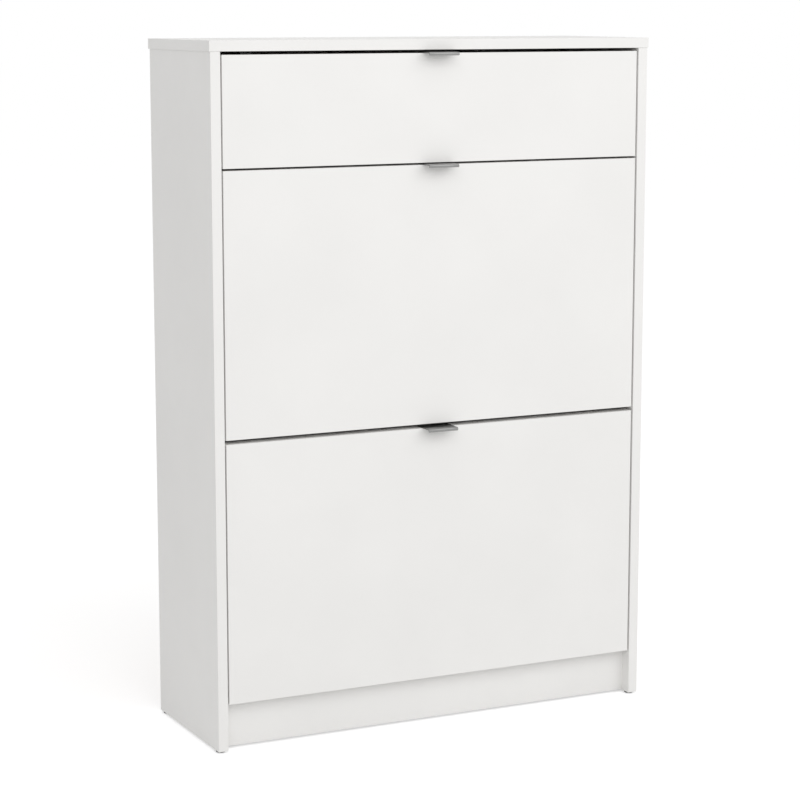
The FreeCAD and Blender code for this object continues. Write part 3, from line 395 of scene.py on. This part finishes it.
@dataclass
class Solid:
    """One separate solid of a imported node, as points in metres.

    Attributes:
        points: Its vertices.
    """

    points: list[Vector]

    @property
    def low(self) -> Vector:
        """Its lowest corner."""
        return Vector([min(point[axis] for point in self.points) for axis in range(3)])

    @property
    def high(self) -> Vector:
        """Its highest corner."""
        return Vector([max(point[axis] for point in self.points) for axis in range(3)])

    @property
    def centre(self) -> Vector:
        """The middle of its box."""
        return (self.low + self.high) / 2

    def long_axis(self) -> int:
        """The axis along which it is longest."""
        size = self.high - self.low
        return max(range(3), key=lambda axis: size[axis])

    def width_at(self, axis: int, level: float) -> float:
        """Its greatest distance from its own axis at a level along that axis."""
        near = [point for point in self.points if abs(point[axis] - level) < LEVEL_BAND]
        others = [other for other in range(3) if other != axis]
        centre = self.centre
        return max(
            (math.hypot(*(point[other] - centre[other] for other in others)) for point in near),
            default=0.0)

    def head(self, axis: int) -> tuple[Vector, Vector]:
        """Find its wider end.

        Args:
            axis: The axis that it is turned about.

        Returns:
            The middle of that end, and the direction that the end points in.
        """
        ends = (self.low[axis], self.high[axis])
        level = max(ends, key=lambda end: self.width_at(axis, end))
        middle = self.centre
        middle[axis] = level
        direction = Vector((0, 0, 0))
        direction[axis] = 1.0 if level == ends[1] else -1.0
        return middle, direction


def solids(node: str) -> list[Solid]:
    """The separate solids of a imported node, from left to right and from the floor up."""
    mesh = bmesh.new()
    mesh.from_mesh(frame["nodes"][node].data)
    bmesh.ops.remove_doubles(mesh, verts=mesh.verts, dist=PACKED_WELD)
    left = set(mesh.verts)
    found = []
    while left:
        group, edge = set(), [left.pop()]
        while edge:
            vertex = edge.pop()
            group.add(vertex)
            joined = {line.other_vert(vertex) for line in vertex.link_edges} & left
            left -= joined
            edge.extend(joined)
        found.append(Solid([vertex.co.copy() for vertex in group]))
    mesh.free()
    return sorted(
        found,
        key=lambda solid: (round(solid.centre.x, 4), round(solid.centre.z, 4), solid.centre.y))


@dataclass
class Piece:
    """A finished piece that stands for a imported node.

    Attributes:
        name: The piece's own name.
        node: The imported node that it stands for.
        body: The body that it moves with.
        slot: The record's slot that it takes its finish from.
        sharp: Angle in degrees above which an edge stays sharp.
    """

    name: str
    node: str
    body: str
    slot: str
    sharp: float = 32.0

    def build(self, mesh: Shape) -> None:
        """Make the object from its mesh, dress it, hang it on its body and hide the imported node.

        Args:
            mesh: The finished shape, which is freed here.
        """
        bmesh.ops.remove_doubles(mesh, verts=mesh.verts, dist=WELD)
        bmesh.ops.recalc_face_normals(mesh, faces=mesh.faces)
        data = bpy.data.meshes.new(self.name)
        mesh.to_mesh(data)
        mesh.free()
        data.shade_smooth()
        data.set_sharp_from_angle(angle=math.radians(self.sharp))
        data.materials.append(SLOT_FINISHES[self.slot].material())
        made = bpy.data.objects.new(self.name, data)
        bpy.context.scene.collection.objects.link(made)
        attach(made, self.body)
        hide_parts(self.node)
        LOG.info("%s: %d faces, rides %s", self.name, len(data.polygons), self.body)


def gathered(parts: Sequence[tuple[Shape, Matrix]]) -> Shape:
    """Put several shapes in their places in one mesh."""
    whole = bmesh.new()
    for mesh, place in parts:
        bmesh.ops.transform(mesh, matrix=place, verts=mesh.verts)
        held = bpy.data.meshes.new("held")
        mesh.to_mesh(held)
        mesh.free()
        whole.from_mesh(held)
        bpy.data.meshes.remove(held)
    return whole


def facing(middle: Vector, direction: Vector) -> Matrix:
    """A place at a point, with its own Z axis along a direction."""
    return Matrix.Translation(middle) @ direction.to_track_quat("Z", "Y").to_matrix().to_4x4()


# ---- fixings -------------------------------------------------------------------------------
@dataclass
class ScrewSet:
    """Pan-head screws with a cross recess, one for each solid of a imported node.

    Attributes:
        piece: The piece that holds them all.
        head_radius: Radius of the heads in mm.
        head_height: Height of the heads in mm.
        shank_radius: Radius over the threads in mm.
        pitch: Distance in mm from one thread to the next.
    """

    piece: Piece
    head_radius: float = 3.0
    head_height: float = 1.1
    shank_radius: float = 1.5
    pitch: float = 1.1

    def screw(self, length: float) -> Shape:
        """One screw, its head's top at nought and its tip below.

        Args:
            length: From the top of the head to the tip, in mm.

        Returns:
            The shape, in metres.
        """
        head, height, shank = self.head_radius, self.head_height, self.shank_radius
        root, crest_rise, neck = 0.72 * shank, 0.45 * self.pitch, 0.8 * shank
        profile = [(0.0, -length)]
        level = -length + 1.2 * shank
        while level < -height - 1.5 * self.pitch:
            profile += [(root, level), (shank, level + crest_rise)]
            level += self.pitch
        profile += [
            (neck, -height - 0.4 * self.pitch), (neck, -height), (0.94 * head, -height),
            (head, -0.86 * height), (0.98 * head, -0.5 * height), (0.86 * head, -0.2 * height),
            (0.66 * head, 0.0)]
        mesh = lathe(profile)
        self.cut_cross(mesh)
        return mesh

    def cut_cross(self, mesh: Shape) -> None:
        """Close the head's open top round a cross recess."""
        rim = [edge for edge in mesh.edges if edge.is_boundary]
        arm, half = 0.46 * self.head_radius, 0.13 * self.head_radius
        depth = 0.62 * self.head_height
        quarter = [(arm, -half), (arm, half), (half, half)]
        corners = [
            Matrix.Rotation(turn * math.pi / 2, 2) @ Vector(point)
            for turn in range(4) for point in quarter]
        cross = [mesh.verts.new((corner.x * MM, corner.y * MM, 0.0)) for corner in corners]
        floor = mesh.faces.new(cross)
        bmesh.ops.bridge_loops(mesh, edges=rim + list(floor.edges))
        push_out(mesh, [floor], Vector((0, 0, -depth * MM)))
        covered = [face for face in mesh.faces if set(face.verts) == set(cross)]
        bmesh.ops.delete(mesh, geom=covered, context="FACES_ONLY")

    def build(self) -> None:
        """Put a screw in the place of each packed one."""
        parts = []
        for solid in solids(self.piece.node):
            axis = solid.long_axis()
            middle, direction = solid.head(axis)
            length = (solid.high[axis] - solid.low[axis]) / MM
            parts.append((self.screw(length), facing(middle, direction)))
        self.piece.build(gathered(parts))


@dataclass
class TurnedSet:
    """Turned or moulded round pieces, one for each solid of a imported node.

    Attributes:
        piece: The piece that holds them all.
        profile: Gives the profile for a length in mm, from the tail at nought to the head.
        axis: The axis that they are turned about, or nothing for the longest.
        steps: Segments in a turn.
    """

    piece: Piece
    profile: Callable[[float], Profile]
    axis: int | None = None
    steps: int = 32

    def build(self) -> None:
        """Put a turned piece in the place of each packed one."""
        parts = []
        for solid in solids(self.piece.node):
            axis = solid.long_axis() if self.axis is None else self.axis
            middle, direction = solid.head(axis)
            length = (solid.high[axis] - solid.low[axis]) / MM
            tail = middle - direction * (length * MM)
            parts.append((lathe(self.profile(length), self.steps), facing(tail, direction)))
        self.piece.build(gathered(parts))


def nail_profile(length: float) -> Profile:
    """A panel nail: point, shank, and a flat head with a soft rim and a faint dish."""
    return [(0.0, 0.0), (0.7, 1.8), (0.7, length - 0.8), (1.65, length - 0.7), (1.8, length - 0.45),
            (1.72, length - 0.1), (1.4, length), (0.6, length - 0.12), (0.0, length - 0.16)]


def glide_profile(length: float) -> Profile:
    """A nail-on glide, head down: pin, flat back, rounded rim and a slightly crowned face."""
    pin, rim, back = 1.2, 7.0, length - 3.0
    return [
        (0.0, 0.0), (pin, 2.4), (pin, back), (6.5, back), (rim, back + 0.4), (rim, length - 1.1),
        (6.7, length - 0.55), (6.0, length - 0.12), (4.2, length), (0.0, length)]


def bumper_profile(length: float) -> Profile:
    """A stick-on bumper, a low dome on a short skirt."""
    radius, skirt = 4.0, 0.35 * length
    arc = [math.radians(degrees) for degrees in (0, 18, 36, 54, 72)]
    dome = [
        (radius * math.cos(angle), skirt + (length - skirt) * math.sin(angle)) for angle in arc]
    return [(0.0, 0.0), (3.9, 0.0)] + dome + [(0.0, length)]


def roller_profile(width: float) -> Profile:
    """A runner's wheel: bored hub, sunk web on both sides and a tread with rounded edges."""
    bore, hub, sink, tread = 2.05, 4.0, 1.2, 9.0
    lower = [
        (bore, 0.25), (2.3, 0.0), (hub - 0.3, 0.0), (hub, 0.3), (hub + 0.3, sink), (6.6, sink),
        (7.0, 0.3), (7.3, 0.0), (8.4, 0.0), (8.85, 0.2), (tread, 0.6)]
    upper = [(radius, width - level) for radius, level in reversed(lower)]
    return lower + upper + [lower[0]]


# ---- bent handle ---------------------------------------------------------------------------
@dataclass
class Handle:
    """A strip bent twice: a leg behind the front, a plate over its edge and a short lip.

    Attributes:
        piece: The piece to build.
        sheet: Thickness in mm.
        lip: Height of the lip in mm.
        bend: Outside radius of both bends in mm.
        corner: Rounding of the free corners in mm, seen from the front.
        ease: Rounding of the sheet's rims in mm.
    """

    piece: Piece
    sheet: float = 1.5
    lip: float = 4.8
    bend: float = 2.0
    corner: float = 1.0
    ease: float = 0.2

    def build(self) -> None:
        """Draw the section, round its bends, stretch it along X and ease its edges."""
        low, high = (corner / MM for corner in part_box(self.piece.node))
        front, back, bottom, top = low.y, high.y, low.z, high.z
        lip_end, inner_top = top - self.lip, top - self.sheet
        inner_front, inner_back = front + self.sheet, back - self.sheet
        section = [
            (front, lip_end), (front, top), (back, top), (back, bottom), (inner_back, bottom),
            (inner_back, inner_top), (inner_front, inner_top), (inner_front, lip_end)]
        mesh = outline(section, lambda y, z: (low.x, y, z))
        outer = [Vector((low.x, y, top)) * MM for y in (front, back)]
        inner = [Vector((low.x, y, inner_top)) * MM for y in (inner_front, inner_back)]
        round_corners(mesh, outer, self.bend, segments=8)
        round_corners(mesh, inner, self.bend - self.sheet, segments=5)
        push_out(mesh, list(mesh.faces), Vector((high.x - low.x, 0, 0)) * MM)
        free = [edge for edge in mesh.edges if self.is_free_corner(edge, lip_end, bottom)]
        soften(mesh, free, self.corner, segments=4)
        rims = [
            edge for edge in mesh.edges
            if edge.is_manifold and edge.calc_face_angle() > SHARP_TURN]
        soften(mesh, rims, self.ease, segments=2)
        self.piece.build(mesh)

    def is_free_corner(self, edge: Edge, lip_end: float, bottom: float) -> bool:
        """Whether an edge runs through the sheet at a free corner of the lip or the leg."""
        start, end = (vertex.co / MM for vertex in edge.verts)
        close = 0.01
        through = abs((end - start).y) > 0.9 * self.sheet and abs((end - start).x) < close
        at_end = min(abs(start.z - lip_end), abs(start.z - bottom)) < close
        return through and abs(start.z - end.z) < close and at_end


# ---- flap end plates -----------------------------------------------------------------------
class Hand(Enum):
    """Which side of the cabinet a piece is on, with its direction along X."""

    LEFT = -1
    RIGHT = 1

    @property
    def word(self) -> str:
        """The word used in the names of pieces."""
        return self.name.lower()


class Level(Enum):
    """Which of the two flaps a piece belongs to."""

    UPPER = "upper"
    LOWER = "lower"


@dataclass
class EndPlate:
    """A moulded end plate: a raised rim round a sunk field on its outer face.

    Attributes:
        piece: The piece to build.
        hand: The side that it is on.
        outer_face: The outer face's distance in mm from the cabinet's middle.
        rim: Width of the rim in mm.
        sink: Depth in mm of the field below the rim.
        slope: How far the field's wall runs in for each mm of its depth.
    """

    piece: Piece
    hand: Hand
    outer_face: float = 330.0
    rim: float = 5.0
    sink: float = 1.2
    slope: float = 0.6

    def build(self) -> None:
        """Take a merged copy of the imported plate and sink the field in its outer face."""
        mesh = bmesh.new()
        mesh.from_mesh(frame["nodes"][self.piece.node].data)
        bmesh.ops.remove_doubles(mesh, verts=mesh.verts, dist=PACKED_WELD)
        level = self.outer_face * self.hand.value * MM
        sunk = [
            face for face in mesh.faces
            if all(abs(vertex.co.x - level) < FLUSH for vertex in face.verts)]
        bmesh.ops.inset_region(
            mesh, faces=sunk, thickness=self.rim * MM, use_boundary=True, use_even_offset=True)
        bmesh.ops.inset_region(
            mesh, faces=sunk, thickness=self.slope * self.sink * MM, depth=-self.sink * MM,
            use_boundary=True, use_even_offset=True)
        self.piece.build(mesh)


# ---- sub-assemblies ------------------------------------------------------------------------
@dataclass
class Carcass:
    """The fixed body with its glides, nails, bumpers and screws."""

    body: str = "cabinet"

    def build(self) -> None:
        """Swap the small fittings for turned ones."""
        glides = Piece("nail_on_glides", "floor_glides", self.body, "glide_plastic")
        TurnedSet(glides, glide_profile).build()
        nails = Piece("panel_nails", "back_panel_nails", self.body, "zinc_plated_steel")
        TurnedSet(nails, nail_profile, steps=12).build()
        bumpers = Piece("domed_bumpers", "door_bumpers", self.body, "bumper_rubber")
        TurnedSet(bumpers, bumper_profile, axis=1).build()
        for name, node in (
            ("bracket_screws", "wall_bracket_screws"),
            ("fixed_runner_screws", "cabinet_runner_screws"),
        ):
            ScrewSet(Piece(name, node, self.body, "zinc_plated_steel")).build()


@dataclass
class Drawer:
    """The drawer with its handle, screws and the four wheels of its runners."""

    body: str = "drawer"

    def build(self) -> None:
        """Swap the handle, screws and wheels for detailed ones."""
        Handle(Piece("drawer_bent_handle", "drawer_handle", self.body, "aluminium")).build()
        handle_screws = Piece(
            "drawer_handle_cross_screws", "drawer_handle_screws", self.body, "zinc_plated_steel")
        ScrewSet(handle_screws).build()
        runner_screws = Piece(
            "moving_runner_screws", "drawer_runner_screws", self.body, "zinc_plated_steel")
        ScrewSet(runner_screws, head_height=0.8).build()
        for hand in Hand:
            for end in ("front", "rear"):
                roller = f"{hand.word}_{end}_roller"
                wheel = Piece(f"{hand.word}_{end}_wheel", roller, roller, "white_plastic")
                TurnedSet(wheel, roller_profile, axis=0, steps=48).build()


@dataclass
class Flap:
    """A tilting flap with its handle, end plates and screws.

    Attributes:
        level: Which of the two flaps it is.
    """

    level: Level

    def build(self) -> None:
        """Swap the handle, end plates and screws for detailed ones."""
        word = self.level.value
        body = f"{word}_flap"
        Handle(Piece(f"{word}_bent_handle", f"{word}_door_handle", body, "aluminium")).build()
        for use in ("handle", "flap_plate"):
            screws = Piece(
                f"{word}_{use}_cross_screws", f"{word}_{use}_screws", body, "zinc_plated_steel")
            ScrewSet(screws).build()
        for hand in Hand:
            node = f"{word}_flap_{hand.word}_end_plate"
            plate = Piece(f"{word}_{hand.word}_moulded_plate", node, body, "white_plastic")
            EndPlate(plate, hand).build()


@dataclass
class Studio:
    """Floor, backdrop light, soft lamps and the camera.

    Attributes:
        fill: Strength of the light from all round.
        lamps: Each lamp's place in metres and its power in watts.
        lamp_size: Side of a lamp's square face in metres.
        target: What the lamps point at.
        floor_radius: Radius of the floor in metres.
        floor_shade: Share of the light that the floor gives back.
        eye: The camera's place in metres.
        heading: The camera's turn from +Y towards +X, in radians.
        dip: How far it looks down, in radians.
        lens: Focal length in mm.
        sensor: Width of the sensor in mm.
    """

    fill: float = 0.67
    lamps: tuple[tuple[float, float, float, float], ...] = (
        (1.5, -2.6, 2.3, 26.0),
        (-1.2, -2.8, 2.4, 22.0),
    )
    lamp_size: float = 2.3
    target: Vector = field(default_factory=lambda: Vector((0.0, 0.0, 0.5)))
    floor_radius: float = 40.0
    floor_shade: float = 0.8
    eye: Vector = field(default_factory=lambda: Vector((-1.56053, -3.16775, 1.05832)))
    heading: float = 0.4559
    dip: float = 0.1642
    lens: float = 107.0
    sensor: float = 36.0

    def build(self) -> None:
        """Set up the whole studio."""
        self.lay_floor()
        self.light_world()
        for number, (x, y, z, power) in enumerate(self.lamps, 1):
            self.hang_lamp(f"soft_lamp_{number}", Vector((x, y, z)), power)
        self.place_camera()
        bpy.context.scene.view_settings.view_transform = "Standard"

    def seen(self, tree: Tree) -> Socket:
        """One for rays that come from the camera, a mirror or a window."""
        path = add(tree, "ShaderNodeLightPath").outputs
        both = maths(tree, "MAXIMUM", path["Is Camera Ray"], path["Is Glossy Ray"])
        return maths(tree, "MAXIMUM", both, path["Is Transmission Ray"])

    def lay_floor(self) -> None:
        """Lay a wide pale floor that looks white in the open and keeps the cabinet's shadow."""
        mesh = bmesh.new()
        bmesh.ops.create_circle(mesh, cap_ends=True, segments=96, radius=self.floor_radius)
        data = bpy.data.meshes.new("floor")
        mesh.to_mesh(data)
        mesh.free()
        paint = bpy.data.materials.new("pale_floor_paint")
        paint.use_nodes = True
        tree = paint.node_tree
        tree.nodes.clear()
        shade = self.floor_shade
        diffuse = add(tree, "ShaderNodeBsdfDiffuse", {"Color": (shade, shade, shade, 1.0)})
        glow = add(tree, "ShaderNodeEmission", {"Strength": 1.0 - shade * self.fill})
        lit = add(tree, "ShaderNodeAddShader", {0: diffuse.outputs[0], 1: glow.outputs[0]})
        shaders = {0: self.seen(tree), 1: diffuse.outputs[0], 2: lit.outputs[0]}
        mixed = add(tree, "ShaderNodeMixShader", shaders)
        add(tree, "ShaderNodeOutputMaterial", {"Surface": mixed.outputs[0]})
        data.materials.append(paint)
        floor = bpy.data.objects.new("floor", data)
        bpy.context.scene.collection.objects.link(floor)

    def light_world(self) -> None:
        """Light from all round, behind a backdrop that shows as white."""
        world = bpy.data.worlds.new("studio")
        bpy.context.scene.world = world
        world.use_nodes = True
        tree = world.node_tree
        tree.nodes.clear()
        fill = add(tree, "ShaderNodeBackground", {"Strength": self.fill, "Color": WHITE})
        white = add(tree, "ShaderNodeBackground", {"Strength": 1.0, "Color": WHITE})
        shaders = {0: self.seen(tree), 1: fill.outputs[0], 2: white.outputs[0]}
        mixed = add(tree, "ShaderNodeMixShader", shaders)
        add(tree, "ShaderNodeOutputWorld", {"Surface": mixed.outputs[0]})

    def hang_lamp(self, name: str, place: Vector, power: float) -> None:
        """Hang a large soft lamp.

        Args:
            name: Its name.
            place: Its place in metres.
            power: Its power in watts.
        """
        lamp = bpy.data.lights.new(name, "AREA")
        lamp.shape = "SQUARE"
        lamp.size = self.lamp_size
        lamp.energy = power
        holder = bpy.data.objects.new(name, lamp)
        holder.location = place
        holder.rotation_euler = (self.target - place).to_track_quat("-Z", "Y").to_euler()
        bpy.context.scene.collection.objects.link(holder)

    def place_camera(self) -> None:
        """Place the camera in front and to the left, looking slightly down."""
        camera = bpy.data.cameras.new("camera")
        camera.sensor_width = self.sensor
        camera.lens = self.lens
        holder = bpy.data.objects.new("camera", camera)
        level = math.cos(self.dip)
        forward = Vector((
            math.sin(self.heading) * level, math.cos(self.heading) * level, -math.sin(self.dip)))
        holder.location = self.eye
        holder.rotation_euler = forward.to_track_quat("-Z", "Y").to_euler()
        bpy.context.scene.collection.objects.link(holder)
        bpy.context.scene.camera = holder


def dress_packed_nodes() -> None:
    """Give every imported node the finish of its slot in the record."""
    for part in frame["record"]["subparts"]:
        node = frame["nodes"][part["node"]]
        node.data.materials.clear()
        node.data.materials.append(SLOT_FINISHES[part["material_slot"]].material())
        LOG.info("%s: packed node in %s", part["node"], part["material_slot"])


def main() -> None:
    """Build everything."""
    logging.basicConfig(level=logging.INFO, format="%(message)s")
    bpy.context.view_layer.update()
    dress_packed_nodes()
    Carcass().build()
    Drawer().build()
    for level in Level:
        Flap(level).build()
    Studio().build()


if __name__ == "__main__":
    main()
